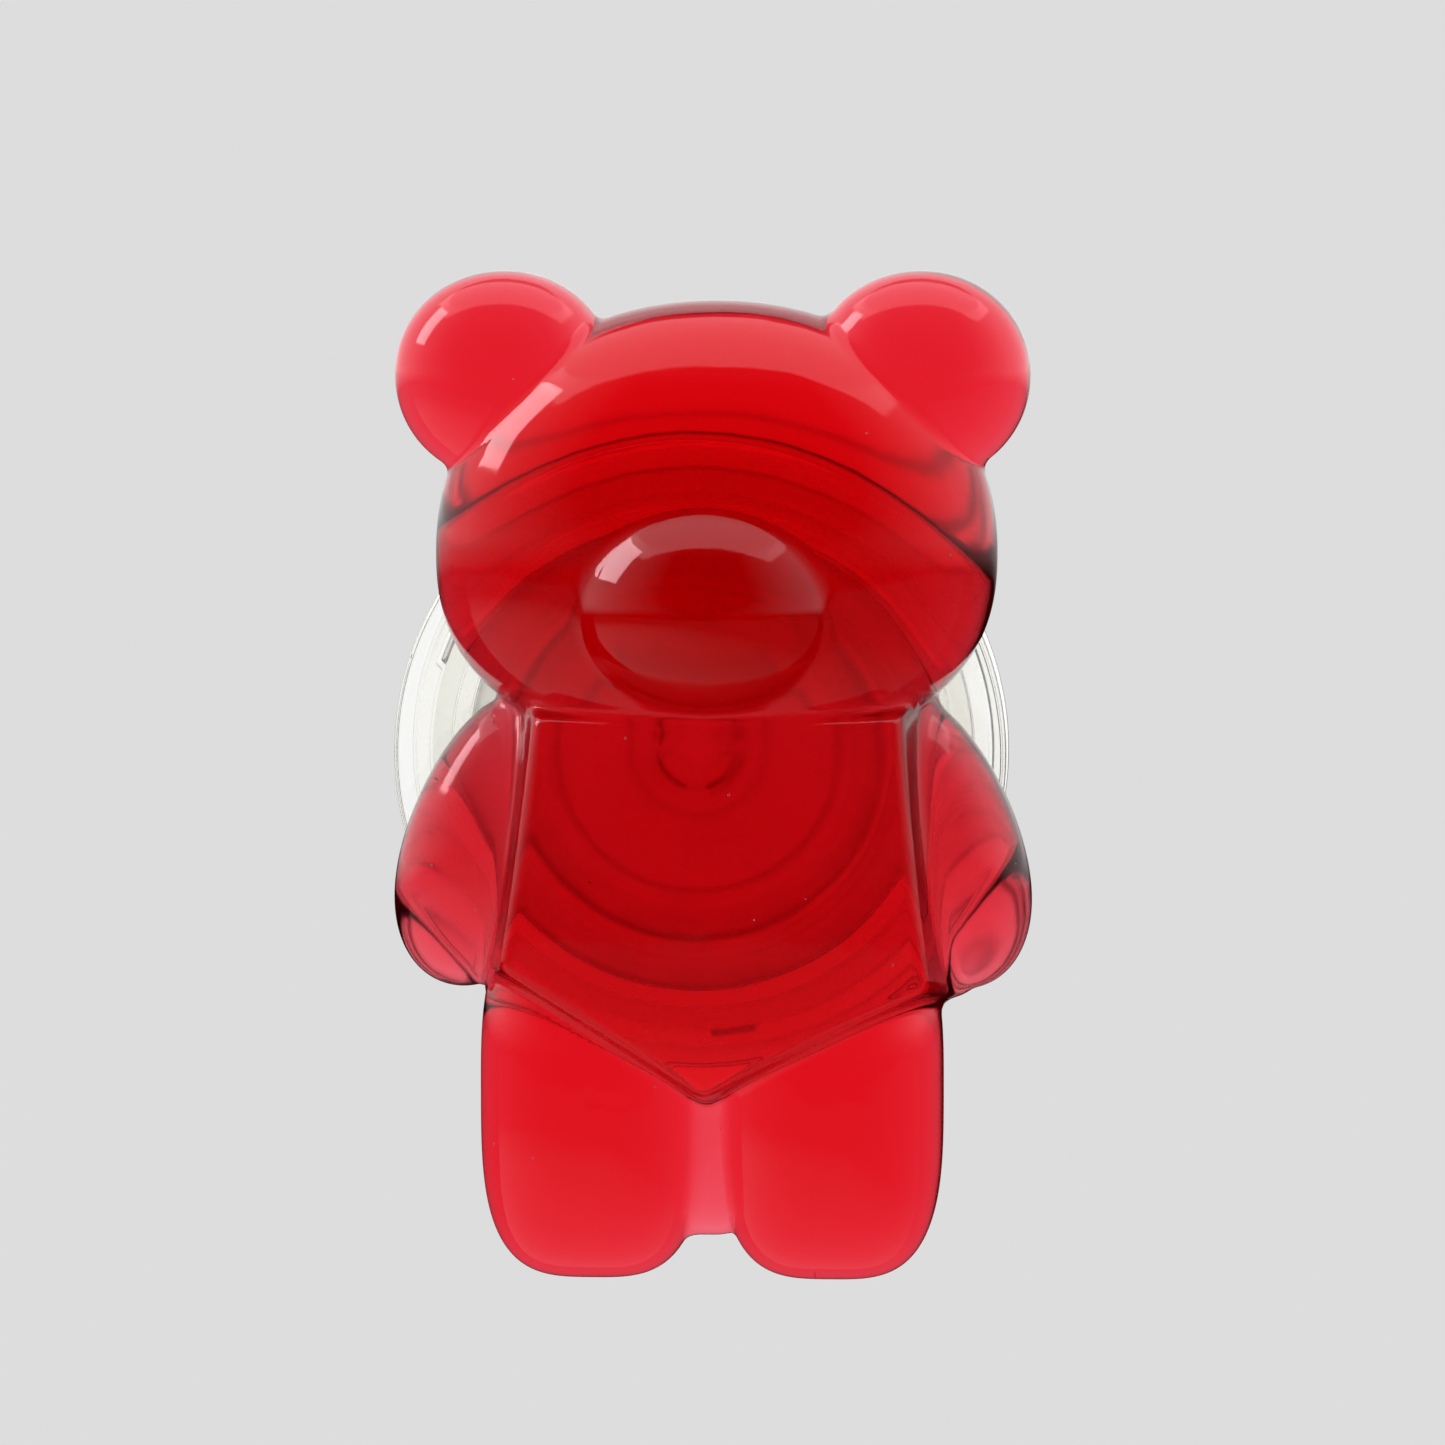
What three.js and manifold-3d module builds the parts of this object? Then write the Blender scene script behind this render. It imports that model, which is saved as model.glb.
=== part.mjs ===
// A collapsible phone grip with a translucent cast-resin bear on its top plate.
//
// Frame: millimetres, +Z up through the bear's head, the bear faces -Y, and the origin is the centre of the
// adhesive pad's rear face, which sticks to the back of a phone. "Height" below is the distance in front of
// that face, so it runs along -Y. The grip is shown collapsed.
import * as THREE from "three";
import { mergeVertices } from "three/addons/utils/BufferGeometryUtils.js";
import Module from "manifold-3d";

const wasm = await Module();
wasm.setup();

// ---- Driving dimensions --------------------------------------------------------------------------------

const JOIN = 0.1; // gap left between faces that touch on the real grip
const ROUND = 48; // segments round the grip's axis

const PAD = { radius: 18.8, thickness: 0.6 };
const BASE = { radius: 20, floor: 0.9, wallInner: 17.7, wallOuter: 18.6, wallTop: 4.4, edge: 0.3 };
const LUGS = { angles: [157, 37, 277], halfAngle: 4.6, depth: 0.45, clearance: 0.6 };
const SOCKET = { radius: 8.9, hole: 2.6, bossRadius: 4.2, bottom: 4.3, thickness: 1, bossDrop: 0.7 };
const PLATE = { radius: 20, bottom: 6.05, thickness: 1.25, edge: 0.45, edgeSteps: 4 };
const STUD = { radius: 2.4, barb: 2.95, tip: 2.2, barbTop: 3.5, barbEdge: 3.2, end: 2.4, slit: 0.8 };
const GLUE = { radius: 15, thickness: 0.3 };

// The soft bellows: a fixed outer ring, a middle ring and a collar, joined by thin cone-shaped webs.
const BELLOWS = {
  bottom: 1.7,
  flangeRadius: 17.4,
  flangeTop: 2.5,
  outerRing: { inner: 15.2, outer: 16.2, top: 5.8 },
  middleRing: { inner: 12, outer: 13.1, bottom: 1.8, top: 5.85 },
  collar: { inner: 8.6, outer: 9.9, bottom: 1.8, top: 5.95 },
  web: { thickness: 0.4, bottom: 1.9, top: 5.75 },
};
const CLAMP = { inner: 16.3, outer: 17.5, bottom: 2.6, top: 4.2 };

// The bear stands on the glue, a little to one side of the grip's axis, as it is glued on by hand.
const BEAR = { x: 1.0, z: -1.0, back: PLATE.bottom + PLATE.thickness + GLUE.thickness + 2 * JOIN };

// One lobe of the bear: centre and half-sizes across (x), up (z) and forward (f) from its flat back. squareness
// bends its outline from an ellipse (2) towards a rectangle, crown does the same to its dome, lean tips it
// outwards in degrees, and taper is the share of its width lost at its upper end and gained at its lower end.
const LOBES = {
  head: { x: 0.3, z: 16, f: 2, half: [18.2, 14.8, 9.4], squareness: 2.4, crown: 2.3 },
  snout: { x: 0.2, z: 10.9, f: 8.6, half: [8.3, 6.7, 5.6], squareness: 2, crown: 2 },
  torso: { x: 0.3, z: -8, f: 1.5, half: [14.4, 15, 8.5], squareness: 3.8, crown: 3.8, taper: 0.1 },
  ears: { x: 13.5, z: 25.8, f: 1, half: [7.1, 6.8, 5.6], squareness: 2.05, crown: 2.6 },
  arms: { x: 15, z: -4.5, f: 1, half: [5, 9.6, 5.8], squareness: 2.05, crown: 2.2, lean: 13, taper: 0.2 },
  legs: { x: 7.9, z: -20.5, f: 1, half: [7.2, 12.4, 7.2], squareness: 3, crown: 2.7 },
  crotch: { x: -0.2, z: -22, f: 1, half: [3.8, 8.2, 3.6], squareness: 6, crown: 3 },
};
// The torso ends below in a point, cut by two sloping planes that meet above the gap between the legs.
const POINT = { tipX: -0.1, tipZ: -22.4, slopes: [32, 26], lean: 12 };
const LOBE_STEPS = { around: 32, down: 20 };

// ---- Materials -----------------------------------------------------------------------------------------

const redResin = new THREE.MeshStandardMaterial({ color: 0xc4121c, roughness: 0.05, metalness: 0 });
const clearPlastic = new THREE.MeshStandardMaterial({ color: 0xeef2f2, roughness: 0.06, metalness: 0 });
const softPlastic = new THREE.MeshStandardMaterial({ color: 0xe6e4d8, roughness: 0.3, metalness: 0 });
const gel = new THREE.MeshStandardMaterial({ color: 0xe2e0d6, roughness: 0.5, metalness: 0 });

// ---- Geometry helpers ----------------------------------------------------------------------------------

const radians = THREE.MathUtils.degToRad;

// A geometry as a manifold-3d solid: only positions are kept, so that shared corners merge.
function solidOf(geometry) {
  const bare = geometry.clone();
  bare.deleteAttribute("normal");
  bare.deleteAttribute("uv");
  const merged = mergeVertices(bare, 1e-4);
  return new wasm.Manifold(
    new wasm.Mesh({
      numProp: 3,
      vertProperties: new Float32Array(merged.attributes.position.array),
      triVerts: new Uint32Array(merged.index.array),
    }),
  );
}

function geometryOf(solid) {
  const found = solid.getMesh();
  const geometry = new THREE.BufferGeometry();
  geometry.setAttribute("position", new THREE.BufferAttribute(new Float32Array(found.vertProperties), 3));
  geometry.setIndex(new THREE.BufferAttribute(new Uint32Array(found.triVerts), 1));
  geometry.computeVertexNormals();
  return geometry;
}

function named(name, geometry, material) {
  const mesh = new THREE.Mesh(geometry, material);
  mesh.name = name;
  return mesh;
}

// A turned piece from a closed profile of [radius, height] corners, listed anticlockwise.
function turned(corners) {
  const points = [...corners, corners[0]].map(([radius, height]) => new THREE.Vector2(radius, height));
  return new THREE.LatheGeometry(points, ROUND);
}

// A turned disc from the axis out, whose profile starts and ends on the axis, from the bottom up.
function turnedDisc(corners) {
  return new THREE.LatheGeometry(
    corners.map(([radius, height]) => new THREE.Vector2(radius, height)),
    ROUND,
  );
}

function ring(inner, outer, bottom, top) {
  return turned([
    [outer, bottom],
    [outer, top],
    [inner, top],
    [inner, bottom],
  ]);
}

// A block between two radii and two heights that spans halfAngle degrees to each side of angle.
function sector(inner, outer, angle, halfAngle, bottom, top) {
  const from = radians(angle - halfAngle);
  const to = radians(angle + halfAngle);
  const outline = new THREE.Shape();
  outline.absarc(0, 0, outer, from, to, false);
  outline.absarc(0, 0, inner, to, from, true);
  const block = new THREE.ExtrudeGeometry(outline, { depth: top - bottom, bevelEnabled: false, curveSegments: 6 });
  block.rotateX(-Math.PI / 2);
  block.translate(0, bottom, 0);
  return block;
}

// ---- The grip's base -----------------------------------------------------------------------------------

function adhesivePad() {
  return turnedDisc([
    [0, 0],
    [PAD.radius, 0],
    [PAD.radius, PAD.thickness],
    [0, PAD.thickness],
  ]);
}

// A disc with a raised wall, whose inside has a pocket for each lug of the clamp ring.
function basePlate() {
  const under = PAD.thickness + JOIN;
  const floor = under + BASE.floor;
  const body = solidOf(
    turnedDisc([
      [0, under],
      [BASE.radius - BASE.edge, under],
      [BASE.radius, under + BASE.edge],
      [BASE.radius, floor - BASE.edge],
      [BASE.radius - BASE.edge, floor],
      [BASE.wallOuter, floor],
      [BASE.wallOuter, BASE.wallTop],
      [BASE.wallInner, BASE.wallTop],
      [BASE.wallInner, floor],
      [0, floor],
    ]),
  );
  const pocketReach = CLAMP.outer + LUGS.depth + 2 * JOIN;
  const pockets = LUGS.angles.map((angle) =>
    solidOf(
      sector(
        BASE.wallInner - 1,
        pocketReach,
        angle,
        LUGS.halfAngle + LUGS.clearance,
        CLAMP.bottom + JOIN,
        BASE.wallTop + 1,
      ),
    ),
  );
  return geometryOf(pockets.reduce((left, pocket) => left.subtract(pocket), body));
}

// Holds the bellows' flange down on the base plate, and locks in its wall by lugs.
function clampRing() {
  const body = solidOf(ring(CLAMP.inner, CLAMP.outer, CLAMP.bottom, CLAMP.top));
  const lugs = LUGS.angles.map((angle) =>
    solidOf(
      sector(
        CLAMP.inner + 0.4,
        CLAMP.outer + LUGS.depth,
        angle,
        LUGS.halfAngle,
        CLAMP.bottom + 3 * JOIN,
        CLAMP.top - JOIN,
      ),
    ),
  );
  return geometryOf(lugs.reduce((left, lug) => left.add(lug), body));
}

// ---- The bellows ---------------------------------------------------------------------------------------

function outerRing() {
  const { inner, outer, top } = BELLOWS.outerRing;
  return turned([
    [BELLOWS.flangeRadius, BELLOWS.bottom],
    [BELLOWS.flangeRadius, BELLOWS.flangeTop],
    [outer, BELLOWS.flangeTop],
    [outer, top],
    [inner, top],
    [inner, BELLOWS.bottom],
  ]);
}

// A cone that runs from the top of the ring outside it down to the foot of the ring inside it.
function web(outside, inside) {
  const { thickness, bottom, top } = BELLOWS.web;
  const topOuter = outside.inner - JOIN;
  const bottomInner = inside.outer + JOIN;
  return turned([
    [bottomInner + thickness, bottom],
    [topOuter, top],
    [topOuter - thickness, top],
    [bottomInner, bottom],
  ]);
}

function middleRing() {
  const { inner, outer, bottom, top } = BELLOWS.middleRing;
  return ring(inner, outer, bottom, top);
}

// The bellows' innermost ring, grooved inside to hold the socket disc.
function collar() {
  const { inner, outer, bottom, top } = BELLOWS.collar;
  const groove = SOCKET.radius + JOIN;
  const grooveBottom = SOCKET.bottom - JOIN;
  const grooveTop = SOCKET.bottom + SOCKET.thickness + JOIN;
  return turned([
    [outer, bottom],
    [outer, top],
    [inner, top],
    [inner, grooveTop],
    [groove, grooveTop],
    [groove, grooveBottom],
    [inner, grooveBottom],
    [inner, bottom],
  ]);
}

// The rigid disc in the collar, with the round hole that the top plate's stud snaps into.
function socketDisc() {
  const { radius, hole, bossRadius, bottom, thickness, bossDrop } = SOCKET;
  return turned([
    [bossRadius, bottom - bossDrop],
    [bossRadius, bottom],
    [radius, bottom],
    [radius, bottom + thickness],
    [hole, bottom + thickness],
    [hole, bottom - bossDrop],
  ]);
}

// ---- The top -------------------------------------------------------------------------------------------

// A disc with rounded edges and a split, barbed stud under its middle.
function topPlate() {
  const { radius, bottom, thickness, edge, edgeSteps } = PLATE;
  const top = bottom + thickness;
  const quarter = (centreHeight, from) =>
    Array.from({ length: edgeSteps + 1 }, (_, i) => {
      const angle = from + (Math.PI / 2) * (i / edgeSteps);
      return [radius - edge + edge * Math.cos(angle), centreHeight + edge * Math.sin(angle)];
    });
  const body = solidOf(
    turnedDisc([
      [0, STUD.end],
      [STUD.tip, STUD.end],
      [STUD.barb, STUD.barbEdge],
      [STUD.barb, STUD.barbTop],
      [STUD.radius, STUD.barbTop],
      [STUD.radius, bottom],
      ...quarter(bottom + edge, -Math.PI / 2),
      ...quarter(top - edge, 0),
      [0, top],
    ]),
  );
  const slitLength = 2 * STUD.barb + 1;
  const slitHeight = bottom - STUD.end;
  const slits = [0, Math.PI / 2].map((turn) => {
    const slit = new THREE.BoxGeometry(STUD.slit, slitHeight, slitLength);
    slit.rotateY(turn);
    slit.translate(0, bottom - JOIN - slitHeight / 2, 0);
    return solidOf(slit);
  });
  return geometryOf(slits.reduce((left, slit) => left.subtract(slit), body));
}

function glueDisc() {
  const bottom = PLATE.bottom + PLATE.thickness + JOIN;
  return turnedDisc([
    [0, bottom],
    [GLUE.radius, bottom],
    [GLUE.radius, bottom + GLUE.thickness],
    [0, bottom + GLUE.thickness],
  ]);
}

// ---- The bear ------------------------------------------------------------------------------------------

// A lobe's closed surface. side is -1 for the copy on the left.
function lobe({ x, z, f, half, squareness, crown, lean = 0, taper = 0 }, side = 1) {
  const ball = new THREE.SphereGeometry(1, LOBE_STEPS.around, LOBE_STEPS.down);
  ball.rotateX(Math.PI / 2); // the poles point forward and back
  const spot = ball.attributes.position;
  for (let i = 0; i < spot.count; i += 1) {
    const [across, forward, up] = [spot.getX(i), -spot.getY(i), spot.getZ(i)];
    const outline = (Math.abs(across) ** squareness + Math.abs(up) ** squareness) ** (1 / squareness);
    const reach = (outline ** crown + Math.abs(forward) ** crown) ** (1 / crown);
    const width = half[0] * (1 - (taper * up) / reach);
    spot.setXYZ(i, (across / reach) * width, (-forward / reach) * half[2], (up / reach) * half[1]);
  }
  ball.rotateY(radians(-side * lean));
  ball.translate(side * x, -f, z);
  return solidOf(ball);
}

function block(width, depth, height, place) {
  const box = new THREE.BoxGeometry(width, depth, height);
  place(box);
  return solidOf(box);
}

// The torso's lobe, cut below by two planes that slope up from the tip and lean back towards the legs.
function torso() {
  const size = 60;
  const cuts = [POINT.slopes[0], -POINT.slopes[1]].map((slope) =>
    block(size, size, size, (box) => {
      box.translate(0, 0, -size / 2);
      box.rotateX(radians(POINT.lean));
      box.rotateY(radians(slope));
      box.translate(POINT.tipX, 0, POINT.tipZ);
    }),
  );
  return cuts.reduce((left, cut) => left.subtract(cut), lobe(LOBES.torso));
}

function bear() {
  const parts = [torso(), lobe(LOBES.head), lobe(LOBES.snout), lobe(LOBES.crotch)];
  for (const pair of [LOBES.ears, LOBES.arms, LOBES.legs]) parts.push(lobe(pair, -1), lobe(pair, 1));
  const round = parts.reduce((left, right) => left.add(right));
  const behind = block(80, 20, 80, (box) => box.translate(0, 10, 0));
  const shape = geometryOf(round.subtract(behind));
  shape.translate(BEAR.x, -BEAR.back, BEAR.z);
  return shape;
}

// ---- Assembly ------------------------------------------------------------------------------------------

// The grip is turned about Y, so its group tips Y over to point forward, along -Y of the frame.
const grip = new THREE.Group();
grip.rotation.x = Math.PI;
grip.add(
  named("adhesive_pad", adhesivePad(), gel),
  named("base_plate", basePlate(), clearPlastic),
  named("clamp_ring", clampRing(), clearPlastic),
  named("bellows_outer_ring", outerRing(), softPlastic),
  named("bellows_outer_web", web(BELLOWS.outerRing, BELLOWS.middleRing), softPlastic),
  named("bellows_middle_ring", middleRing(), softPlastic),
  named("bellows_inner_web", web(BELLOWS.middleRing, BELLOWS.collar), softPlastic),
  named("bellows_collar", collar(), softPlastic),
  named("socket_disc", socketDisc(), clearPlastic),
  named("top_plate", topPlate(), clearPlastic),
  named("glue_disc", glueDisc(), gel),
);

const bearGrip = new THREE.Group();
bearGrip.add(grip, named("bear", bear(), redResin));

export default bearGrip;
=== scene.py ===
import math

import bmesh
import bpy
import numpy as np
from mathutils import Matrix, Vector


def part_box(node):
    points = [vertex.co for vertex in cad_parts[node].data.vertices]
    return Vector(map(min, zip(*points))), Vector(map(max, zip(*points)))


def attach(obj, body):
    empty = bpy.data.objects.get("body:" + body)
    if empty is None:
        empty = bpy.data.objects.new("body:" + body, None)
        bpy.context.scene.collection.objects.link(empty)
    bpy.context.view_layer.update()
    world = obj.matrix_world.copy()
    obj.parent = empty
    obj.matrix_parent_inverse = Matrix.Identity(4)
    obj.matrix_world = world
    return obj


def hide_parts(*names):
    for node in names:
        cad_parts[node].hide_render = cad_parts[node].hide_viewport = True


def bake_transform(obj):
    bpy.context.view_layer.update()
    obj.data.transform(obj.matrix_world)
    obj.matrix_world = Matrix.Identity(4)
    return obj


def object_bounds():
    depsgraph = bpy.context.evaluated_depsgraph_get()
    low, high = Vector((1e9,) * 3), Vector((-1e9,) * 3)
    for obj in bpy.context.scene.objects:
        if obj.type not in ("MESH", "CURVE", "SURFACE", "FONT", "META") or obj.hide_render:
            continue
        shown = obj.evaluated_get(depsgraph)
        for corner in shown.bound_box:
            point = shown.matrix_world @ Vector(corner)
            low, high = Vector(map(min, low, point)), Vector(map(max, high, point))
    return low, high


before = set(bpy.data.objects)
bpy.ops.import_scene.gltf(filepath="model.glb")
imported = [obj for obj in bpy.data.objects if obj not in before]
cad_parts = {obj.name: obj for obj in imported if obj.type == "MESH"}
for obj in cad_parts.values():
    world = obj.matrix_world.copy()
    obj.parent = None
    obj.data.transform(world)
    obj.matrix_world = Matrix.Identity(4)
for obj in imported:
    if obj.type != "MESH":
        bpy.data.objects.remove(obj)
CAD_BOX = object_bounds()

MM = 0.001

# ---- Sizes of the grip ---------------------------------------------------------------------------------

TURN_STEPS = 360  # segments round the grip's axis
CORNER_STEPS = 4  # segments in a rounded corner
CORNER_ROOM = 0.49  # the most that a corner's arc takes of the sides next to it
SHARP_ANGLE = 40  # edges that turn more than this stay sharp
SAME_PLACE = 1e-7  # points this close, in metres, are one
NO_LENGTH = 1e-8  # and edges shorter than this are dropped

# Three lugs on the clamp ring lock it into pockets in the base plate.
LUG_ANGLES = (157, 37, 277)
LUG_HALF_ANGLE = 4.6
LUG_REACH = 0.45  # how far a lug stands out of the ring, and a pocket goes into the wall
LUG_START = 0.3  # a lug starts this far in front of the ring's rear
LUG_SLOPE = 0.2  # and stands out in full this much further on
LUG_SKIN = 0.1  # only what is this near the ring's outside stands out
POCKET_CLEARANCE = 0.6  # how much wider a pocket is than its lug, on each side, in degrees
POCKET_START = 0.8  # a pocket is at its full depth this far in front of the plate's floor

BASE_FLOOR = 0.9  # thickness of the base plate's floor
BASE_WALL = 0.9  # thickness of its wall
BASE_WALL_INSIDE = 2.3  # how far the wall's inside is in from the rim
CLAMP_OUTER = 17.5
CLAMP_INNER = 16.3
FLANGE = 0.8  # thickness of the bellows' fixed flange
OUTER_WALL_OUTER = 16.2
OUTER_WALL_INNER = 15.2
OUTER_WEB_INNER = 13.2
MIDDLE_WALL_INNER = 12.0
INNER_WEB_INNER = 10.0
WEB_THICKNESS = 0.4
WEB_ROWS = 14
SOFT_EDGE = 0.35  # rounding of the bellows' thick rings
SLAB_EDGE = 0.12  # rounding of the pad and the glue
COLLAR_LIP = 8.6  # inner radius of the lips that hold the socket disc
FIT_GAP = 0.1  # clearance round the socket disc
SOCKET_HOLE = 2.6
SOCKET_BOSS = 4.2
SOCKET_DROP = 0.7  # how far the socket disc's rim is in front of its boss
BUTTON_THICKNESS = 1.25
BUTTON_EDGE = 0.45
STUD_INNER = 1.3
STUD_OUTER = 2.4
STUD_BARB = 2.95
STUD_TIP = 2.2
STUD_END = 2.4  # height of the stud's rear end
STUD_BARB_HEIGHTS = (3.2, 3.5)
STUD_SLIT_HALF_ANGLE = 10
STUD_OVERLAP = 0.05  # how deep the stud runs into the button plate

# ---- Sizes of the bear ---------------------------------------------------------------------------------

# The bear's lobes: head, snout, ears, arms, legs and the web between the legs. Each has a centre (across,
# up, forward of the bear's back) and half-sizes (across, up, down, forward). squareness, above and below
# the centre, bends the outline from an ellipse, 2, towards a rectangle, and crown does the same to the
# dome. lean tips the lobe outwards, taper narrows its upper end, and crease is how softly it runs into the
# rest, where that isn't CREASE. A pair is mirrored across.
LOBES = [
    dict(at=(0.3, 14.4, 1.6), half=(18.2, 16.3, 12.9, 9.6), squareness=(2.1, 2.4), crown=2.3),
    dict(at=(0.1, 10.9, 5.5), half=(9.6, 8.2, 6.9, 8.7), squareness=(2.0, 2.0), crown=2.0, crease=0.5),
    dict(at=(13.5, 25.9, 1.0), half=(7.1, 6.7, 6.9, 5.6), squareness=(2.05, 2.05), crown=2.6, pair=True),
    dict(at=(15.0, -4.5, 1.0), half=(5.0, 9.6, 9.6, 4.8), squareness=(2.05, 2.05), crown=2.2,
         lean=13, taper=0.2, crease=1.0, pair=True),
    dict(at=(7.75, -20.4, 1.0), half=(7.3, 12.2, 12.5, 6.8), squareness=(3.0, 3.3), crown=2.8, pair=True),
    dict(at=(-0.2, -22.0, 1.0), half=(2.0, 9.0, 8.1, 3.6), squareness=(3.0, 5.0), crown=3.0, crease=1.0),
]
# The torso is a shield: a shallow dome in front, and flat walls. Each wall has a point on it (across, up),
# the way it faces, as an angle up from straight right, how much it leans back, and how softly it meets the
# dome and the other walls, where that isn't SHIELD_EDGE.
SHIELD_WALLS = [
    dict(at=(15.6, -4.0), faces=6, lean=16, edge=0.7),
    dict(at=(-14.4, -4.0), faces=172, lean=16, edge=0.7),
    dict(at=(0, 6.8), faces=90, lean=20),
    dict(at=(-0.1, -22.4), faces=-64, lean=12),
    dict(at=(-0.1, -22.6), faces=-122, lean=12),
]
SHIELD_EDGE = 0.6
SHIELD_TOP = 9.0
SHIELD_MIDDLE = -8.0  # how high up the top of the shield's dome is
SHIELD_BOW = 120.0  # radius of the shield's dome
CREASE = 0.7  # how softly two lobes run into each other
BACK_EDGE = 0.35  # rounding of the edge round the flat back
BEAR_CELL = 0.36  # spacing of the grid that the bear's surface is found on
BEAR_MARGIN = 1.5  # how far that grid goes past the bear
SLOPE_REACH = 0.01  # half the distance over which the field's slope is measured
TINY = 1e-9  # keeps the middle of a lobe from a division by zero
SETTLE_ROUNDS = 2  # steps in which a point is moved onto the surface
RELAX_ROUNDS = 3  # steps in which the points are spread evenly
RELAX_SHARE = 0.6  # how far a point moves towards the middle of its neighbours in a round

# ---- Mesh helpers --------------------------------------------------------------------------------------


def span(node_name):
    """Outer radius, rear height and front height of a CAD node that is turned about the grip's axis."""
    low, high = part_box(node_name)
    return high.x / MM, -high.y / MM, -low.y / MM


def new_object(name, points, faces):
    """A new mesh object in the scene."""
    mesh = bpy.data.meshes.new(name)
    mesh.from_pydata(points, [], faces)
    mesh.update()
    made = bpy.data.objects.new(name, mesh)
    bpy.context.scene.collection.objects.link(made)
    return made


def rounded(profile):
    """A closed profile of (radius, height, corner radius) with each corner turned into an arc."""
    out = []
    for i, (radius, height, corner) in enumerate(profile):
        here = np.array([radius, height], float)
        if corner <= 0:
            out.append(here)
            continue
        before = np.array(profile[i - 1][:2], float) - here
        after = np.array(profile[(i + 1) % len(profile)][:2], float) - here
        room = CORNER_ROOM * min(np.linalg.norm(before), np.linalg.norm(after))
        before /= np.linalg.norm(before)
        after /= np.linalg.norm(after)
        half = math.acos(float(np.clip(before @ after, -1, 1))) / 2
        reach = min(corner / math.tan(half), room)
        size = reach * math.tan(half)
        middle = (before + after) / np.linalg.norm(before + after)
        centre = here + middle * size / math.sin(half)
        first = here + before * reach - centre
        last = here + after * reach - centre
        turn = math.pi - 2 * half
        for step in range(CORNER_STEPS + 1):
            share = step / CORNER_STEPS
            arc = math.sin((1 - share) * turn) * first + math.sin(share * turn) * last
            out.append(centre + arc / math.sin(turn))
    return np.array(out)


def turned(name, profile, reshape=None, arcs=((0, 360),)):
    """A closed solid turned about the grip's axis from a profile of (radius, height, corner radius).
    reshape(degrees, radii, heights) may return other radii. Each of arcs is a first and a last angle."""
    outline = rounded(profile)
    count = len(outline)
    points = []
    faces = []
    for first, last in arcs:
        whole = last - first >= 360
        steps = round(TURN_STEPS * (last - first) / 360)
        start = len(points)
        for step in range(steps if whole else steps + 1):
            degrees = first + (last - first) * step / steps
            radii = outline[:, 0] if reshape is None else reshape(degrees, outline[:, 0], outline[:, 1])
            angle = math.radians(degrees)
            points += [
                (r * math.cos(angle) * MM, -h * MM, r * math.sin(angle) * MM)
                for r, h in zip(radii, outline[:, 1])
            ]
        for step in range(steps):
            here = start + step * count
            there = start + (step + 1) % (steps if whole else steps + 1) * count
            for i in range(count):
                after = (i + 1) % count
                faces.append((here + i, here + after, there + after, there + i))
        if not whole:
            faces += [tuple(range(start, start + count)), tuple(range(len(points) - count, len(points)))]
    made = new_object(name, points, faces)
    tidy(made)
    return made


def tidy(made):
    """Joins points that coincide, drops the faces that this flattens and turns every face outward."""
    work = bmesh.new()
    work.from_mesh(made.data)
    bmesh.ops.remove_doubles(work, verts=work.verts, dist=SAME_PLACE)
    bmesh.ops.dissolve_degenerate(work, edges=work.edges, dist=NO_LENGTH)
    bmesh.ops.recalc_face_normals(work, faces=work.faces)
    for face in work.faces:
        face.smooth = True
    work.to_mesh(made.data)
    work.free()
    made.data.set_sharp_from_angle(angle=math.radians(SHARP_ANGLE))


def finished(made, material, slot, body, *nodes):
    """Gives a piece its material, the body it rides on and the CAD nodes it replaces. slot is not used."""
    made.data.materials.append(material)
    if body:
        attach(made, body)
    if nodes:
        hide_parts(*nodes)
    return made


# ---- The bear ------------------------------------------------------------------------------------------


def lobe_depth(lobe, across, up, forward, side):
    """How far outside a lobe each point is, in millimetres: negative inside."""
    x = side * across - lobe["at"][0]
    z = up - lobe["at"][1]
    f = forward - lobe["at"][2]
    lean = math.radians(lobe.get("lean", 0))
    x, z = x * math.cos(lean) + z * math.sin(lean), z * math.cos(lean) - x * math.sin(lean)
    wide, high, low, deep = lobe["half"]
    tall = np.where(z > 0, high, low)
    wide = wide * (1 - lobe.get("taper", 0) * z / high)
    p = np.where(z > 0, *lobe["squareness"])
    q = lobe["crown"]
    outline = (np.abs(x / wide) ** p + np.abs(z / tall) ** p) ** (1 / p)
    reach = (outline**q + np.abs(f / deep) ** q) ** (1 / q) + TINY
    return np.sqrt(x * x + z * z + f * f) * (1 - 1 / reach)


def soft_union(a, b, size):
    """The lesser of two depths, with the corner between them rounded over about this size."""
    share = np.clip(0.5 + 0.5 * (b - a) / size, 0, 1)
    return b + (a - b) * share - size * share * (1 - share)


def shield_depth(across, up, forward):
    """How far outside the torso each point is, in millimetres: negative inside."""
    depth = forward - SHIELD_TOP + (across**2 + (up - SHIELD_MIDDLE) ** 2) / (2 * SHIELD_BOW)
    for wall in SHIELD_WALLS:
        faces = math.radians(wall["faces"])
        lean = math.radians(wall["lean"])
        out = (across - wall["at"][0]) * math.cos(faces) + (up - wall["at"][1]) * math.sin(faces)
        wall_depth = out * math.cos(lean) + forward * math.sin(lean)
        depth = -soft_union(-depth, -wall_depth, wall.get("edge", SHIELD_EDGE))
    return depth


def bear_depth(spots):
    """The whole bear's depth field at rows of (across, up, forward): the torso and the lobes run together,
    and cut flat behind."""
    across, up, forward = spots[..., 0], spots[..., 1], spots[..., 2]
    whole = shield_depth(across, up, forward)
    for lobe in LOBES:
        for side in (-1, 1) if lobe.get("pair") else (1,):
            depth = lobe_depth(lobe, across, up, forward, side)
            whole = soft_union(whole, depth, lobe.get("crease", CREASE))
    return -soft_union(-whole, forward, BACK_EDGE)


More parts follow.
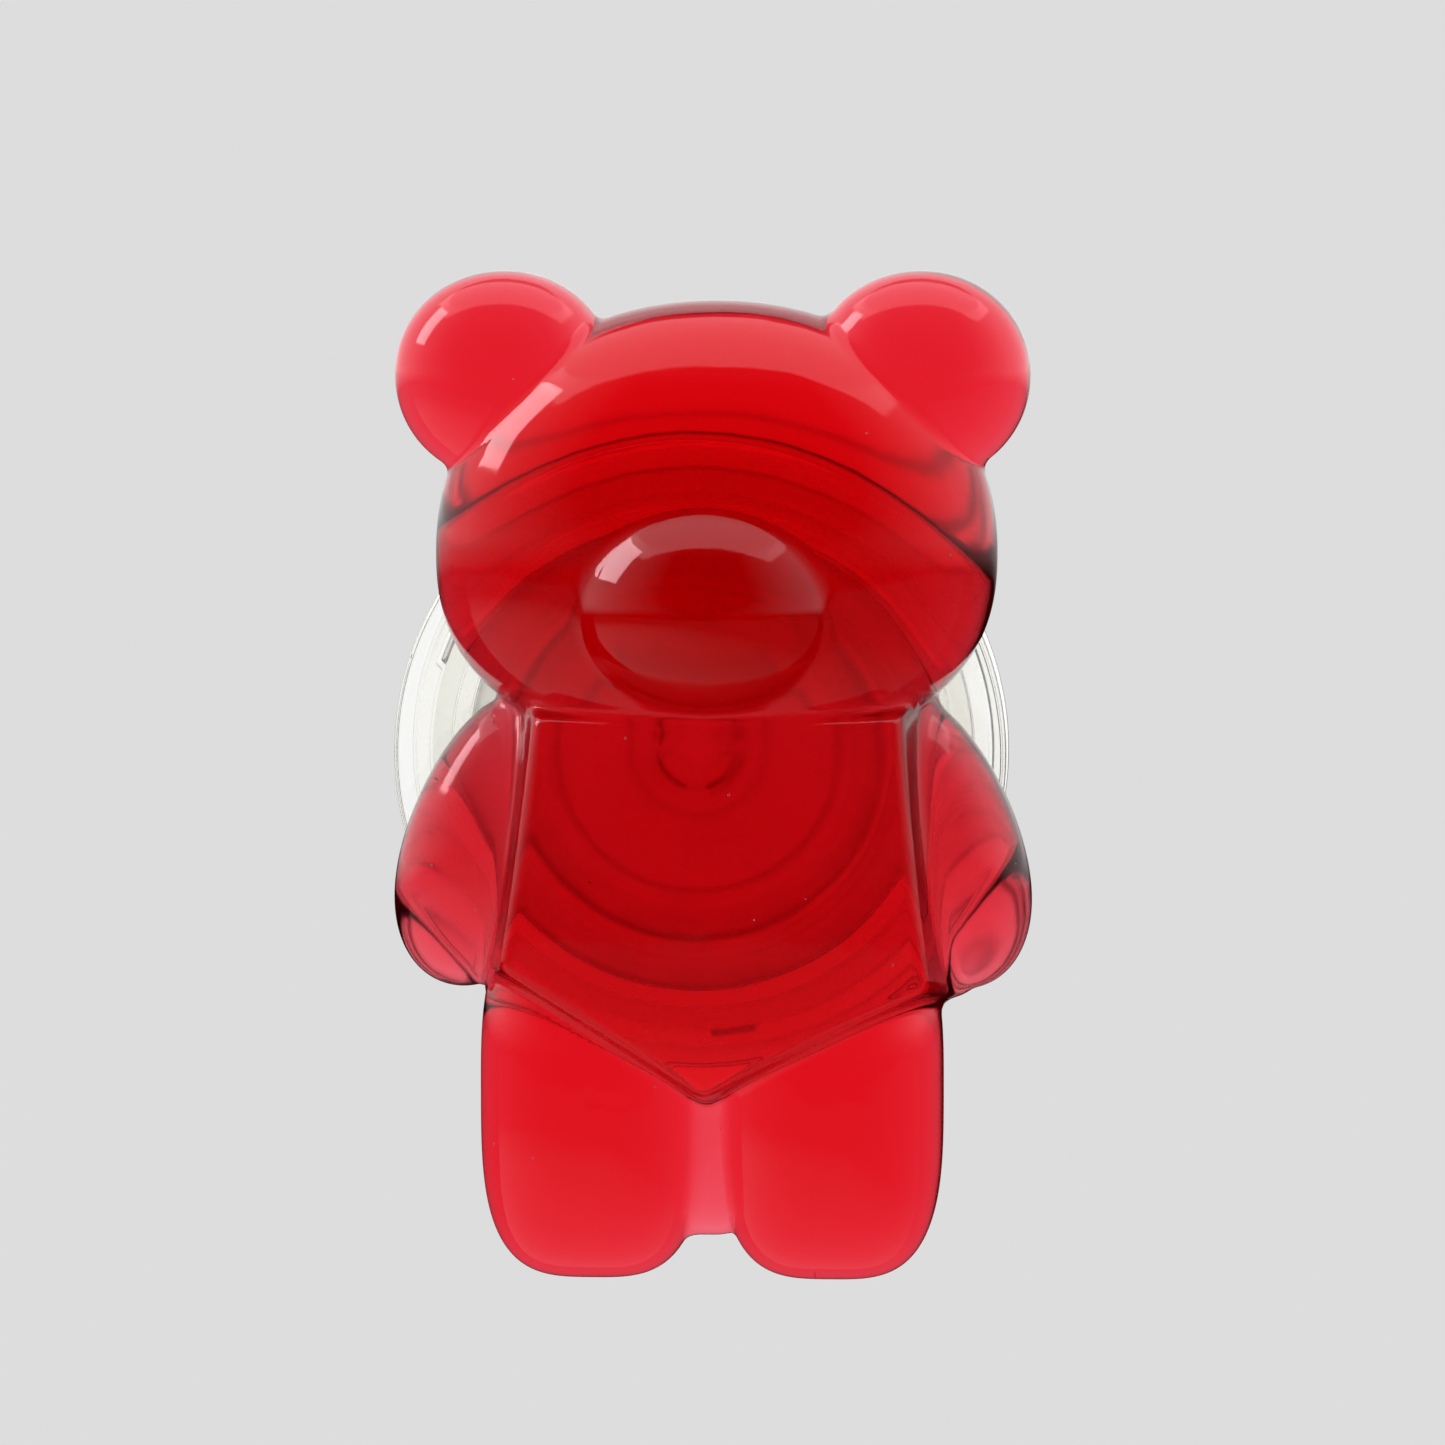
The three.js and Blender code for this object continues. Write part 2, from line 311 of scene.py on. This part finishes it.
def slopes(spots):
    """The depth field's gradient, by central differences."""
    rows = []
    for axis in np.eye(3) * SLOPE_REACH:
        rows.append((bear_depth(spots + axis) - bear_depth(spots - axis)) / (2 * SLOPE_REACH))
    return np.stack(rows, axis=-1)


def settled(spots):
    """The spots moved onto the bear's surface."""
    for _ in range(SETTLE_ROUNDS):
        slope = slopes(spots)
        spots = spots - slope * (bear_depth(spots) / (slope**2).sum(-1))[..., None]
    return spots


def surface_net(field, low, cell):
    """Points and four-sided faces of the surface where a grid of depths changes sign."""
    inside = field < 0
    axes = np.eye(3, dtype=int)
    total = np.zeros((*(n - 1 for n in field.shape), 3))
    hits = np.zeros(total.shape[:3])
    edges = []
    for axis in range(3):
        step = axes[axis]
        others = [axes[a] for a in range(3) if a != axis]
        first = inside[tuple(slice(0, n - s) for n, s in zip(field.shape, step))]
        last = inside[tuple(slice(s, n) for n, s in zip(field.shape, step))]
        at = np.argwhere(first != last)
        here = field[tuple(at.T)]
        there = field[tuple((at + step).T)]
        spot = at + step * (here / (here - there))[:, None]
        around = [at - others[0] * i - others[1] * j for i, j in ((0, 0), (1, 0), (1, 1), (0, 1))]
        for cells in around:
            np.add.at(total, tuple(cells.T), spot)
            np.add.at(hits, tuple(cells.T), 1)
        edges.append((around, inside[tuple(at.T)] ^ (axis == 1)))
    used = hits > 0
    number = np.full(hits.shape, -1)
    number[used] = np.arange(used.sum())
    quads = []
    for around, outward in edges:
        quad = np.stack([number[tuple(cells.T)] for cells in around], axis=1)
        quads.append(np.where(outward[:, None], quad, quad[:, ::-1]))
    return total[used] / hits[used][:, None] * cell + low, np.vstack(quads)


def relaxed(spots, quads):
    """Each spot moved to the middle of its neighbours and back onto the surface, for even faces."""
    pairs = np.vstack([quads[:, [i, (i + 1) % 4]] for i in range(4)])
    for _ in range(RELAX_ROUNDS):
        total = np.zeros_like(spots)
        hits = np.zeros(len(spots))
        np.add.at(total, pairs[:, 0], spots[pairs[:, 1]])
        np.add.at(hits, pairs[:, 0], 1)
        spots = settled((1 - RELAX_SHARE) * spots + RELAX_SHARE * total / hits[:, None])
    return spots


def bear_surface():
    """The bear's mesh, with exact normals from its depth field."""
    low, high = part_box("bear")
    centre = Vector(((low.x + high.x) / 2, high.y, (low.z + high.z) / 2))
    reach = np.array([high.x - low.x, high.z - low.z]) / MM / 2 + BEAR_MARGIN
    starts = np.array([-reach[0], -reach[1], -BEAR_MARGIN])
    ends = np.array([reach[0], reach[1], (high.y - low.y) / MM + BEAR_MARGIN])
    grid = np.stack(
        np.meshgrid(*(np.arange(a, b, BEAR_CELL) for a, b in zip(starts, ends)), indexing="ij"), axis=-1
    )
    spots, quads = surface_net(bear_depth(grid), starts, BEAR_CELL)
    spots = relaxed(settled(spots), quads)
    normals = slopes(spots)
    normals /= np.linalg.norm(normals, axis=1)[:, None]
    # From (across, up, forward) to the frame's X, Y and Z.
    turn = [0, 2, 1]
    flip = np.array([1, -1, 1])
    points = spots[:, turn] * flip * MM + np.array(centre)
    made = new_object("resin_bear", points.tolist(), quads.tolist())
    made.data.polygons.foreach_set("use_smooth", [True] * len(quads))
    made.data.normals_split_custom_set_from_vertices((normals[:, turn] * flip).tolist())
    return made


# ---- Materials -----------------------------------------------------------------------------------------

RESIN_COLOUR = (0.94, 0.05, 0.19)
RESIN_DENSITY = 700
RESIN_REFLECTION = (1.0, 0.68, 0.74)
SANDED_ROUGHNESS = 0.22  # of the resin's flat back
SANDED_DEPTHS = (0.3, 0.1)  # the sanding starts and is full this far in front of the back
SPECK_SCALE = 330.0  # cells a metre that hold a speck each
SPECK_RADII = (0.014, 0.024)  # a speck's core and rim, as a share of its cell
SPECK_COLOUR = (0.1, 0.0, 0.0)
MIX_COLOUR_A = 6  # the Mix node has a set of sockets for each kind of data, and these are the colour ones
MIX_COLOUR_B = 7
MIX_COLOUR_RESULT = 2


def shader(name, **values):
    """A new material and its Principled surface, whose sockets are set from values."""
    material = bpy.data.materials.new(name)
    material.use_nodes = True
    surface = material.node_tree.nodes["Principled BSDF"]
    for socket, value in values.items():
        surface.inputs[socket.replace("_", " ")].default_value = value
    return material, surface


def node(material, kind, **settings):
    """A new node, with its sockets or else its own properties set."""
    made = material.node_tree.nodes.new(kind)
    for key, value in settings.items():
        if key in made.inputs:
            made.inputs[key].default_value = value
        else:
            setattr(made, key, value)
    return made


def link(material, source, target):
    material.node_tree.links.new(source, target)


def noise(material, scale, detail=2.0):
    """Noise in object space, at so many features a metre."""
    place = node(material, "ShaderNodeTexCoord")
    made = node(material, "ShaderNodeTexNoise", Scale=scale, Detail=detail)
    link(material, place.outputs["Object"], made.inputs["Vector"])
    return made.outputs["Fac"]


def ranged(material, source, low, high, start=0.3, end=0.7):
    """A value that goes from low to high as the source goes from start to end, which suit noise."""
    made = node(material, "ShaderNodeMapRange")
    made.inputs["From Min"].default_value = start
    made.inputs["From Max"].default_value = end
    made.inputs["To Min"].default_value = low
    made.inputs["To Max"].default_value = high
    link(material, source, made.inputs["Value"])
    return made.outputs["Result"]


def combined(material, operation, first, second):
    """A Math node's result from two linked values."""
    made = node(material, "ShaderNodeMath", operation=operation)
    link(material, first, made.inputs[0])
    link(material, second, made.inputs[1])
    return made.outputs["Value"]


def place_axes(material):
    """The place in object space, as separate X, Y and Z outputs."""
    place = node(material, "ShaderNodeTexCoord")
    axes = node(material, "ShaderNodeSeparateXYZ")
    link(material, place.outputs["Object"], axes.inputs["Vector"])
    return axes.outputs


def distance_from(material, point):
    """How far from a point in object space, in metres."""
    place = node(material, "ShaderNodeTexCoord")
    away = node(material, "ShaderNodeVectorMath", operation="DISTANCE")
    away.inputs[1].default_value = point
    link(material, place.outputs["Object"], away.inputs[0])
    return away.outputs["Value"]


def rough_and_bumpy(material, surface, roughness, waves, grain):
    """Roughness that wanders, over long soft waves and a fine grain in the surface. roughness is
    (low, high, scale), and waves and grain are each (scale, depth in millimetres)."""
    low, high, scale = roughness
    link(material, ranged(material, noise(material, scale), low, high), surface.inputs["Roughness"])
    wave = node(material, "ShaderNodeBump", Distance=waves[1] * MM, Strength=1.0)
    link(material, noise(material, waves[0]), wave.inputs["Height"])
    fine = node(material, "ShaderNodeBump", Distance=grain[1] * MM, Strength=1.0)
    link(material, noise(material, grain[0], detail=3.0), fine.inputs["Height"])
    link(material, wave.outputs["Normal"], fine.inputs["Normal"])
    link(material, fine.outputs["Normal"], surface.inputs["Normal"])


def absorb(material, colour, density):
    """Light lost on the way through a closed solid, (1 - colour) x density a metre."""
    volume = node(material, "ShaderNodeVolumeAbsorption", Density=density)
    volume.inputs["Color"].default_value = (*colour, 1)
    output = material.node_tree.nodes["Material Output"]
    link(material, volume.outputs["Volume"], output.inputs["Volume"])


def add_specks(material, surface):
    """A few dark opaque specks, one at the heart of each cell that the surface happens to pass."""
    place = node(material, "ShaderNodeTexCoord")
    cells = node(material, "ShaderNodeTexVoronoi", Scale=SPECK_SCALE)
    link(material, place.outputs["Object"], cells.inputs["Vector"])
    clear = ranged(material, cells.outputs["Distance"], 0.0, 1.0, *SPECK_RADII)
    link(material, clear, surface.inputs["Transmission Weight"])
    colour = node(material, "ShaderNodeMix", data_type="RGBA")
    colour.inputs[MIX_COLOUR_A].default_value = (*SPECK_COLOUR, 1)
    colour.inputs[MIX_COLOUR_B].default_value = (1, 1, 1, 1)
    link(material, clear, colour.inputs["Factor"])
    link(material, colour.outputs[MIX_COLOUR_RESULT], surface.inputs["Base Color"])


def red_resin():
    """Clear red resin, glossy in front, with a sanded flat back and a few dark specks in its skin."""
    material, surface = shader("red_resin", IOR=1.5, Transmission_Weight=1.0)
    surface.inputs["Specular Tint"].default_value = (*RESIN_REFLECTION, 1)
    rough_and_bumpy(material, surface, roughness=(0.04, 0.09, 180), waves=(220, 0.05), grain=(4000, 0.0006))
    polished = surface.inputs["Roughness"].links[0].from_socket
    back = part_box("bear")[1].y
    start, full = (back - depth * MM for depth in SANDED_DEPTHS)
    sanded = ranged(material, place_axes(material)["Y"], 0.0, SANDED_ROUGHNESS, start, full)
    link(material, combined(material, "MAXIMUM", polished, sanded), surface.inputs["Roughness"])
    add_specks(material, surface)
    absorb(material, RESIN_COLOUR, RESIN_DENSITY)
    return material


def clear_plastic():
    """The hard clear plastic of the plates, the clamp ring and the socket disc."""
    material, surface = shader("clear_plastic", IOR=1.49, Transmission_Weight=1.0)
    surface.inputs["Base Color"].default_value = (0.975, 0.98, 0.97, 1)
    rough_and_bumpy(material, surface, roughness=(0.02, 0.07, 150), waves=(90, 0.02), grain=(3000, 0.0005))
    return material


def soft_plastic():
    """The soft milky plastic of the bellows."""
    material, surface = shader("soft_plastic", IOR=1.25, Transmission_Weight=1.0)
    surface.inputs["Base Color"].default_value = (0.98, 0.975, 0.95, 1)
    rough_and_bumpy(material, surface, roughness=(0.16, 0.3, 300), waves=(400, 0.02), grain=(6000, 0.002))
    return material


def gel():
    """The adhesive pad's gel."""
    material, surface = shader("gel", IOR=1.12, Transmission_Weight=1.0)
    surface.inputs["Base Color"].default_value = (0.965, 0.95, 0.915, 1)
    rough_and_bumpy(material, surface, roughness=(0.15, 0.3, 400), waves=(500, 0.03), grain=(7000, 0.003))
    return material


def glue():
    """The clear glue behind the bear."""
    material, surface = shader("glue", IOR=1.3, Transmission_Weight=1.0)
    surface.inputs["Base Color"].default_value = (0.985, 0.98, 0.965, 1)
    rough_and_bumpy(material, surface, roughness=(0.35, 0.5, 300), waves=(500, 0.03), grain=(5000, 0.001))
    return material


# ---- The grip ------------------------------------------------------------------------------------------


def near_lug(degrees, clearance=0.0):
    """Whether an angle is within a lug, or within this many degrees of one."""
    return any(abs((degrees - lug + 180) % 360 - 180) <= LUG_HALF_ANGLE + clearance for lug in LUG_ANGLES)


def disc(name, radius, rear, front, edge):
    """A disc with rounded rims."""
    return turned(name, [(0, rear, 0), (radius, rear, edge), (radius, front, edge), (0, front, 0)])


def slab(name, node_name, material, slot, body):
    """A thin disc in the place of a CAD node."""
    return finished(disc(name, *span(node_name), SLAB_EDGE), material, slot, body, node_name)


def base_shell(material):
    """The base plate: a disc with a raised wall, pocketed inside for the clamp ring's lugs."""
    radius, rear, top = span("base_plate")
    floor = rear + BASE_FLOOR
    inside = radius - BASE_WALL_INSIDE
    outside = inside + BASE_WALL

    def pocketed(degrees, radii, heights):
        if not near_lug(degrees, POCKET_CLEARANCE):
            return radii
        in_pocket = (heights > floor + POCKET_START / 2) & (np.abs(radii - inside) < BASE_WALL / 3)
        return np.where(in_pocket, radii + LUG_REACH, radii)

    profile = [
        (0, rear, 0),
        (radius, rear, 0.3),
        (radius, floor, 0.3),
        (outside, floor, 0.15),
        (outside, top, 0.2),
        (inside, top, 0.15),
        (inside, floor + POCKET_START, 0),
        (inside, floor, 0.15),
        (0, floor, 0),
    ]
    made = turned("base_shell", profile, pocketed)
    return finished(made, material, "clear_plastic", "base", "base_plate")


def locking_ring(material):
    """The clamp ring, with its three lugs."""
    _, rear, front = span("clamp_ring")

    def lugged(degrees, radii, heights):
        if not near_lug(degrees):
            return radii
        on_lug = (radii > CLAMP_OUTER - LUG_SKIN) & (heights > rear + LUG_START)
        return np.where(on_lug, radii + LUG_REACH, radii)

    profile = [
        (CLAMP_OUTER, rear, 0.1),
        (CLAMP_OUTER, rear + LUG_START, 0),
        (CLAMP_OUTER, rear + LUG_START + LUG_SLOPE, 0),
        (CLAMP_OUTER, front, 0.15),
        (CLAMP_INNER, front, 0.15),
        (CLAMP_INNER, rear, 0.1),
    ]
    made = turned("locking_ring", profile, lugged)
    return finished(made, material, "clear_plastic", "base", "clamp_ring")


def outer_wall(material):
    """The bellows' fixed flange and the outer wall that stands on it."""
    flange, rear, front = span("bellows_outer_ring")
    profile = [
        (flange, rear, 0.1),
        (flange, rear + FLANGE, 0.1),
        (OUTER_WALL_OUTER, rear + FLANGE, 0.2),
        (OUTER_WALL_OUTER, front, SOFT_EDGE),
        (OUTER_WALL_INNER, front, SOFT_EDGE),
        (OUTER_WALL_INNER, rear, 0.1),
    ]
    made = turned("outer_wall", profile)
    return finished(made, material, "soft_bellows", "base", "bellows_outer_ring")


def middle_wall(material):
    """The thick ring between the two webs."""
    outer, rear, front = span("bellows_middle_ring")
    corners = ((outer, rear), (outer, front), (MIDDLE_WALL_INNER, front), (MIDDLE_WALL_INNER, rear))
    profile = [(radius, height, SOFT_EDGE) for radius, height in corners]
    made = turned("middle_wall", profile)
    return finished(made, material, "soft_bellows", "middle", "bellows_middle_ring")


def web(name, node_name, inner, material):
    """A cone of the bellows, which on the real grip turns inside out as the body inside it moves forward;
    here it stays fixed.
    """
    outer, rear, front = span(node_name)
    start = np.array([inner + WEB_THICKNESS, rear])
    end = np.array([outer, front])
    outer_side = [tuple(start + (end - start) * row / WEB_ROWS) for row in range(WEB_ROWS + 1)]
    inner_side = [(radius - WEB_THICKNESS, height) for radius, height in reversed(outer_side)]
    made = turned(name, [(radius, height, 0) for radius, height in outer_side + inner_side])
    finished(made, material, "soft_bellows", None, node_name)
    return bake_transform(made)


def inner_collar(material):
    """The innermost soft ring, with a groove between two lips for the socket disc's rim."""
    outer, rear, front = span("bellows_collar")
    socket_radius, socket_rear, socket_front = span("socket_disc")
    groove = socket_radius + FIT_GAP
    groove_rear = socket_rear + SOCKET_DROP - FIT_GAP
    groove_front = socket_front + FIT_GAP
    profile = [
        (outer, rear, 0.3),
        (outer, front, 0.3),
        (COLLAR_LIP, front, 0.2),
        (COLLAR_LIP, groove_front, 0.05),
        (groove, groove_front, 0.05),
        (groove, groove_rear, 0.05),
        (COLLAR_LIP, groove_rear, 0.05),
        (COLLAR_LIP, rear, 0.2),
    ]
    made = turned("inner_collar", profile)
    return finished(made, material, "soft_bellows", "collar", "bellows_collar")


def socket(material):
    """The rigid disc that the button plate's stud snaps into."""
    radius, rear, front = span("socket_disc")
    profile = [
        (SOCKET_BOSS, rear, 0.15),
        (SOCKET_BOSS, rear + SOCKET_DROP, 0.1),
        (radius, rear + SOCKET_DROP, 0.1),
        (radius, front, 0.1),
        (SOCKET_HOLE, front, 0.15),
        (SOCKET_HOLE, rear, 0.15),
    ]
    return finished(turned("socket", profile), material, "clear_plastic", "collar", "socket_disc")


def button_plate(material):
    """The 40 mm front plate, and the four barbed fingers of its snap stud."""
    radius, _, front = span("top_plate")
    rear = front - BUTTON_THICKNESS
    plate = disc("button_plate", radius, rear, front, BUTTON_EDGE)
    finished(plate, material, "clear_plastic", "button", "top_plate")
    barb_rear, barb_front = STUD_BARB_HEIGHTS
    finger = [
        (STUD_INNER, STUD_END, 0.1),
        (STUD_TIP, STUD_END, 0.1),
        (STUD_BARB, barb_rear, 0.1),
        (STUD_BARB, barb_front, 0.05),
        (STUD_OUTER, barb_front, 0.05),
        (STUD_OUTER, rear + STUD_OVERLAP, 0),
        (STUD_INNER, rear + STUD_OVERLAP, 0),
    ]
    slit = STUD_SLIT_HALF_ANGLE
    arcs = [(quarter + slit, quarter + 90 - slit) for quarter in (0, 90, 180, 270)]
    finished(turned("snap_stud", finger, arcs=arcs), material, "clear_plastic", "button")


# ---- Stage, light and camera, in metres ----------------------------------------------------------------

LOOK_AT = Vector((1.66, -9.0, 2.15)) * MM
CAMERA_DISTANCE = 0.5
CAMERA_AZIMUTH = 4.0
CAMERA_ELEVATION = 3.5
VIEW_WIDTH = 0.0938  # how much the picture takes in at the object
SENSOR = 36.0
CLIP_START = 0.01  # the nearest that the camera sees

FLOOR_DROP = 0.045  # the floor is this far below the bear's feet
FLOOR = CAD_BOX[0].z - FLOOR_DROP
ROOM_RADIUS = 1.2
ROOM_CURVE = 0.35  # radius of the curve between the floor and the wall
ROOM_HEIGHT = 1.6
ROOM_STEPS = 96
CURVE_STEPS = 12
REAR_GLOW_SIZE = 0.96  # the glowing shells' sizes, as shares of the room's
SIDE_GLOW_SIZE = 0.93
SHELL_LIFT = 0.1  # a shell's floor is raised by this much of the share that it lacks

ROOM_COLOUR = 0.03
ROOM_GLOW = 0.69
WORLD_GLOW = 0.02
# The rear and the table each glow around a middle: a strength near it and one away from it, and the two
# distances between which one goes over into the other.
REAR_LIGHT = (2.2, 1.09)
REAR_FADE = (0.032, 0.058)
TABLE_LIGHT = (0.5, 0.08)
TABLE_FADE = (0.09, 0.24)
TABLE_MIDDLE = (-0.14, -0.03, 0.0)
TABLE_HALF_WIDTH = 0.9
TABLE_REACH = 0.42  # how far the table comes forward
TABLE_LIFT = 0.012
SIDE_LIGHT = 1.05
SIDE_FADE = (-0.96, -0.05)  # the side light comes in over this stretch of Y
SIDE_RISE = (-0.06, 0.04)  # and over this stretch of Z
BOUNCES = 40  # enough for a ray to pass all the clear surfaces


def direction(azimuth, elevation):
    """The way from the object towards a viewer. Azimuth 0 is in front, -Y, and 90 is +X."""
    a = math.radians(azimuth)
    e = math.radians(elevation)
    return Vector((math.sin(a) * math.cos(e), -math.cos(a) * math.cos(e), math.sin(e)))


def camera():
    """The camera, a little to the right of the object and above it."""
    made = bpy.data.objects.new("camera", bpy.data.cameras.new("camera"))
    bpy.context.scene.collection.objects.link(made)
    way = direction(CAMERA_AZIMUTH, CAMERA_ELEVATION)
    made.location = LOOK_AT + way * CAMERA_DISTANCE
    made.rotation_euler = (-way).to_track_quat("-Z", "Y").to_euler()
    made.data.sensor_width = SENSOR
    made.data.lens = SENSOR * CAMERA_DISTANCE / VIEW_WIDTH
    made.data.clip_start = CLIP_START
    bpy.context.scene.camera = made


def glowing(name, colour=0.0, glow=1.0):
    """A material of this grey, matt, that gives off this much light, and its Principled surface."""
    material, surface = shader(name, Roughness=1.0, Specular_IOR_Level=0.0, Emission_Strength=1.0)
    surface.inputs["Base Color"].default_value = (colour, colour, colour, 1)
    surface.inputs["Emission Color"].default_value = (glow, glow, glow, 1)
    return material, surface


def rear_glow_material():
    """The light behind the object, brightest in a small patch in line with the grip."""
    material, surface = glowing("rear_glow")
    behind = LOOK_AT - direction(CAMERA_AZIMUTH, CAMERA_ELEVATION) * ROOM_RADIUS
    light = ranged(material, distance_from(material, behind), *REAR_LIGHT, *REAR_FADE)
    link(material, light, surface.inputs["Emission Strength"])
    return material


def side_glow_material():
    """The light at the sides and behind: none in front or close to the floor, full beside the object."""
    material, surface = glowing("side_glow")
    axes = place_axes(material)
    abreast = ranged(material, axes["Y"], 0.0, SIDE_LIGHT, *SIDE_FADE)
    above_floor = ranged(material, axes["Z"], 0.0, 1.0, *SIDE_RISE)
    light = combined(material, "MULTIPLY", abreast, above_floor)
    link(material, light, surface.inputs["Emission Strength"])
    return material


def table_material():
    """The pale table in front, brightest close to the object."""
    material, surface = glowing("front_table")
    light = ranged(material, distance_from(material, TABLE_MIDDLE), *TABLE_LIGHT, *TABLE_FADE)
    link(material, light, surface.inputs["Emission Strength"])
    return material


def hide_from(made, *rays):
    """Hides an object from kinds of ray: camera, diffuse, glossy or transmission."""
    for ray in rays:
        setattr(made, f"visible_{ray}", False)


def front_table():
    """A flat table in front of the object."""
    height = FLOOR + TABLE_LIFT
    corners = ((-1, 0.0), (1, 0.0), (1, -TABLE_REACH), (-1, -TABLE_REACH))
    points = [(side * TABLE_HALF_WIDTH, y, height) for side, y in corners]
    made = new_object("front_table", points, [(0, 3, 2, 1)])
    made.data.materials.append(table_material())
    return made


def room_half(name, first, last, material, size=1.0):
    """Half of the room: floor, curve and wall, turned about the vertical axis between two angles."""
    floor = FLOOR + (1 - size) * SHELL_LIFT
    radius = ROOM_RADIUS * size
    flat = radius - ROOM_CURVE
    profile = [(0.0, floor), (flat, floor)]
    for step in range(1, CURVE_STEPS + 1):
        angle = math.radians(90 * step / CURVE_STEPS)
        profile.append((flat + ROOM_CURVE * math.sin(angle), floor + ROOM_CURVE * (1 - math.cos(angle))))
    profile.append((radius, floor + ROOM_HEIGHT))
    count = len(profile)
    steps = ROOM_STEPS // 2
    points = []
    for step in range(steps + 1):
        angle = math.radians(first + (last - first) * step / steps)
        points += [(r * math.cos(angle), r * math.sin(angle), z) for r, z in profile]
    faces = []
    for step in range(steps):
        here = step * count
        there = here + count
        faces += [(here + i, there + i, there + i + 1, here + i + 1) for i in range(count - 1)]
    made = new_object(name, points, faces)
    made.data.polygons.foreach_set("use_smooth", [True] * len(faces))
    made.data.materials.append(material)
    return made


def room_top(material):
    """A flat pale ceiling."""
    top = FLOOR + ROOM_HEIGHT
    points = [(0.0, 0.0, top)]
    for step in range(ROOM_STEPS):
        angle = math.tau * step / ROOM_STEPS
        points.append((ROOM_RADIUS * math.cos(angle), ROOM_RADIUS * math.sin(angle), top))
    faces = [(0, 1 + (step + 1) % ROOM_STEPS, 1 + step) for step in range(ROOM_STEPS)]
    made = new_object("room_top", points, faces)
    made.data.materials.append(material)
    return made


def softbox(name, way, distance, width, height, radiance):
    """A rectangular light that faces the object. Its radiance is what a mirror would show of it."""
    light = bpy.data.lights.new(name, "AREA")
    light.shape = "RECTANGLE"
    light.size = width
    light.size_y = height
    light.energy = radiance * math.pi * width * height
    made = bpy.data.objects.new(name, light)
    bpy.context.scene.collection.objects.link(made)
    made.location = LOOK_AT + way * distance
    made.rotation_euler = way.to_track_quat("Z", "Y").to_euler()
    return made


def studio():
    """A plain pale room. Through the clear pieces shows a bright wall behind, and their surfaces reflect
    light from the sides, a table, a broad softbox overhead and a small one at the left."""
    room, _ = glowing("backdrop", ROOM_COLOUR, ROOM_GLOW)
    for name, first, last in (("room_rear", 0, 180), ("room_front", 180, 360)):
        hide_from(room_half(name, first, last, room), "glossy")
    hide_from(room_half("rear_glow", 0, 180, rear_glow_material(), REAR_GLOW_SIZE), "camera", "glossy")
    sides = side_glow_material()
    for name, first, last in (("side_glow_rear", 0, 180), ("side_glow_front", 180, 360)):
        hide_from(room_half(name, first, last, sides, SIDE_GLOW_SIZE), "camera", "transmission", "diffuse")
    hide_from(front_table(), "camera", "transmission", "diffuse")
    overhead = softbox("overhead", direction(0, 88), distance=0.7, width=1.3, height=0.7, radiance=1.5)
    hide_from(overhead, "camera")
    hide_from(room_top(room), "camera", "glossy")
    key = softbox("key", direction(277, 35), distance=0.6, width=0.22, height=0.3, radiance=7.5)
    hide_from(key, "camera", "transmission")
    world = bpy.data.worlds.new("world")
    world.use_nodes = True
    background = world.node_tree.nodes["Background"]
    background.inputs["Color"].default_value = (WORLD_GLOW, WORLD_GLOW, WORLD_GLOW, 1)
    bpy.context.scene.world = world
    bpy.context.scene.view_settings.view_transform = "Standard"
    bpy.context.scene.cycles.max_bounces = BOUNCES
    bpy.context.scene.cycles.transmission_bounces = BOUNCES


# ---- Assembly ------------------------------------------------------------------------------------------

camera()
studio()

CLEAR = clear_plastic()
SOFT = soft_plastic()

slab("gel_pad", "adhesive_pad", gel(), "adhesive_gel", "base")
base_shell(CLEAR)
locking_ring(CLEAR)
outer_wall(SOFT)
web("outer_web", "bellows_outer_web", OUTER_WEB_INNER, SOFT)
middle_wall(SOFT)
web("inner_web", "bellows_inner_web", INNER_WEB_INNER, SOFT)
inner_collar(SOFT)
socket(CLEAR)
button_plate(CLEAR)
slab("glue_patch", "glue_disc", glue(), "glue", "button")
finished(bear_surface(), red_resin(), "red_resin", "button", "bear")
